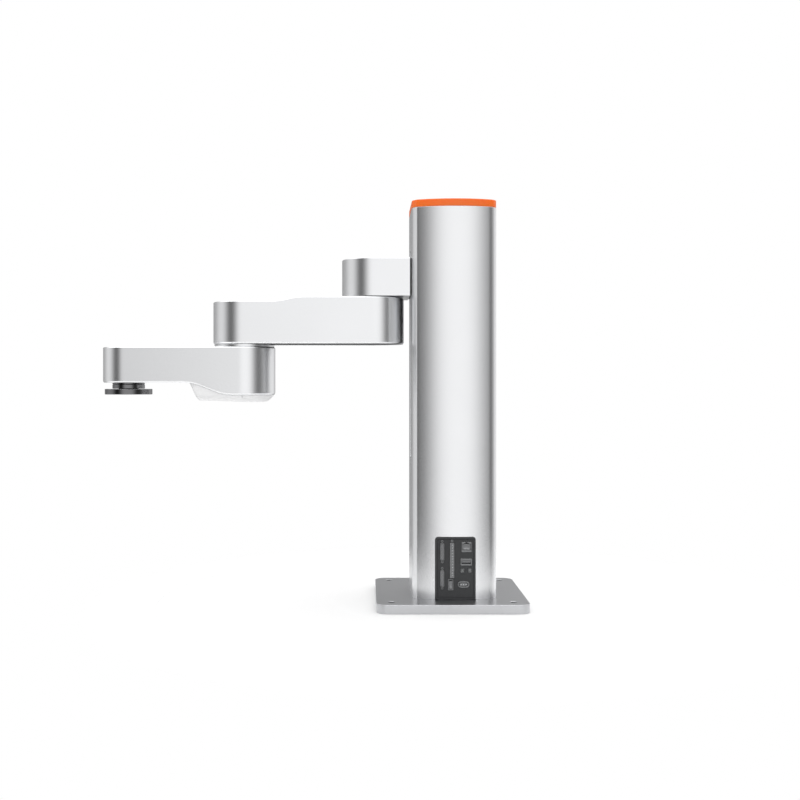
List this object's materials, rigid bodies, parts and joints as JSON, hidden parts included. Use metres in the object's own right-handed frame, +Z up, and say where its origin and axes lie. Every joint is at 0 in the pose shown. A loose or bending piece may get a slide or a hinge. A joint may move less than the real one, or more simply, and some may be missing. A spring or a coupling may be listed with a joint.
{
  "type": "scara robot arm",
  "caption": "Desktop SCARA robot arm: extruded aluminium lift column on a square foot plate, bracket, upper arm and forearm that swing level, and a turning tool flange.",
  "frame": {"origin": "middle of the foot plate's underside, where it rests or is bolted down", "axes": "+Z up along the column; the straightened arms point along -X and the connector panel faces -Y"},
  "size_m": [0.576, 0.2, 0.543],
  "materials": {
    "satin_aluminium": "fine satin, clear anodised",
    "plate_aluminium": "fine satin, clear anodised",
    "machined_aluminium": "machined",
    "black_anodised": "black anodised, turned",
    "orange_lens": "satin translucent acrylic",
    "black_plastic": "fine moulded texture",
    "white_plastic": "satin moulded",
    "connector_grey": "moulded, satin",
    "status_lens": "clear light pipe",
    "motor_black": "powder coated",
    "steel": "ground",
    "rubber": "matt",
    "circuit_board": "solder mask"
  },
  "bodies": {
    "base": {"base_plate": "plate_aluminium", "column_extrusion": "satin_aluminium", "light_ring": "orange_lens", "top_cap": "satin_aluminium", "slot_seal_left": "white_plastic", "slot_seal_right": "white_plastic", "io_panel": "black_plastic", "signal_port_upper": "connector_grey", "signal_port_lower": "connector_grey", "terminal_port": "connector_grey", "ethernet_port": "connector_grey", "usb_port": "connector_grey", "power_inlet": "black_plastic", "status_light_left": "status_lens", "status_light_right": "status_lens", "switch_frame": "black_plastic", "z_backbone": "machined_aluminium", "linear_rail_left": "steel", "linear_rail_right": "steel", "screw_bearing_bottom": "steel", "screw_bearing_top": "steel", "motor_mount": "machined_aluminium", "z_motor": "motor_black", "controller_board": "circuit_board"},
    "power_switch": {"power_rocker": "black_plastic"},
    "lift_screw": {"ball_screw": "steel", "shaft_coupling": "machined_aluminium"},
    "carriage": {"carriage_plate": "machined_aluminium", "carriage_neck": "machined_aluminium", "guide_block_left": "steel", "guide_block_right": "steel", "ball_nut": "steel", "seal_plate": "black_plastic", "shoulder_bracket": "satin_aluminium", "bracket_lid": "satin_aluminium", "shoulder_reducer": "steel", "shoulder_motor": "motor_black"},
    "upper_arm": {"upper_arm_shell": "satin_aluminium", "upper_arm_cover": "black_plastic", "shoulder_hub": "black_anodised", "elbow_motor": "motor_black", "elbow_motor_mount": "machined_aluminium", "elbow_bearing": "steel", "elbow_belt": "rubber"},
    "elbow_drive": {"elbow_motor_pulley": "machined_aluminium"},
    "forearm": {"forearm_shell": "satin_aluminium", "forearm_bottom_plate": "satin_aluminium", "forearm_belly": "white_plastic", "elbow_shaft": "satin_aluminium", "elbow_pulley": "machined_aluminium", "spindle_housing": "black_anodised", "tool_motor": "motor_black", "tool_motor_mount": "machined_aluminium", "tool_belt": "rubber"},
    "tool_drive": {"tool_motor_pulley": "machined_aluminium"},
    "tool": {"tool_spindle": "steel", "tool_pulley": "machined_aluminium", "tool_flange": "black_anodised"}
  },
  "joints": [
    {"name": "z_slide", "type": "slide", "parent": "base", "child": "carriage", "axis": [0, 0, 1], "range_m": [-0.21, 0]},
    {"name": "shoulder", "type": "hinge", "parent": "carriage", "child": "upper_arm", "pos_m": [-0.104, 0, 0.4165], "axis": [0, 0, 1], "range_deg": [-90, 90]},
    {"name": "elbow", "type": "hinge", "parent": "upper_arm", "child": "forearm", "pos_m": [-0.2815, 0, 0.349], "axis": [0, 0, 1], "range_deg": [-115, 115]},
    {"name": "tool_spin", "type": "hinge", "parent": "forearm", "child": "tool", "pos_m": [-0.4415, 0, 0.283], "axis": [0, 0, 1], "range_deg": [-1080, 1080]},
    {"name": "screw_spin", "type": "hinge", "parent": "base", "child": "lift_screw", "pos_m": [0.0322, 0, 0.052], "axis": [0, 0, 1], "range_deg": [-5, 3785]},
    {"name": "elbow_drive_spin", "type": "hinge", "parent": "upper_arm", "child": "elbow_drive", "pos_m": [-0.19, 0, 0.389], "axis": [0, 0, 1], "range_deg": [-231, 231]},
    {"name": "tool_drive_spin", "type": "hinge", "parent": "forearm", "child": "tool_drive", "pos_m": [-0.2995, 0, 0.323], "axis": [0, 0, 1], "range_deg": [-1602, 1602]},
    {"name": "power_toggle", "type": "hinge", "parent": "base", "child": "power_switch", "pos_m": [-0.0017, -0.0634, 0.032], "axis": [-1, 0, 0], "range_deg": [0, 16]}
  ],
  "couplings": [
    {"joint": "screw_spin", "follows": "z_slide", "rad_per_m": -314.16},
    {"joint": "elbow_drive_spin", "follows": "elbow", "ratio": 2},
    {"joint": "tool_drive_spin", "follows": "tool_spin", "ratio": 1.4815}
  ]
}
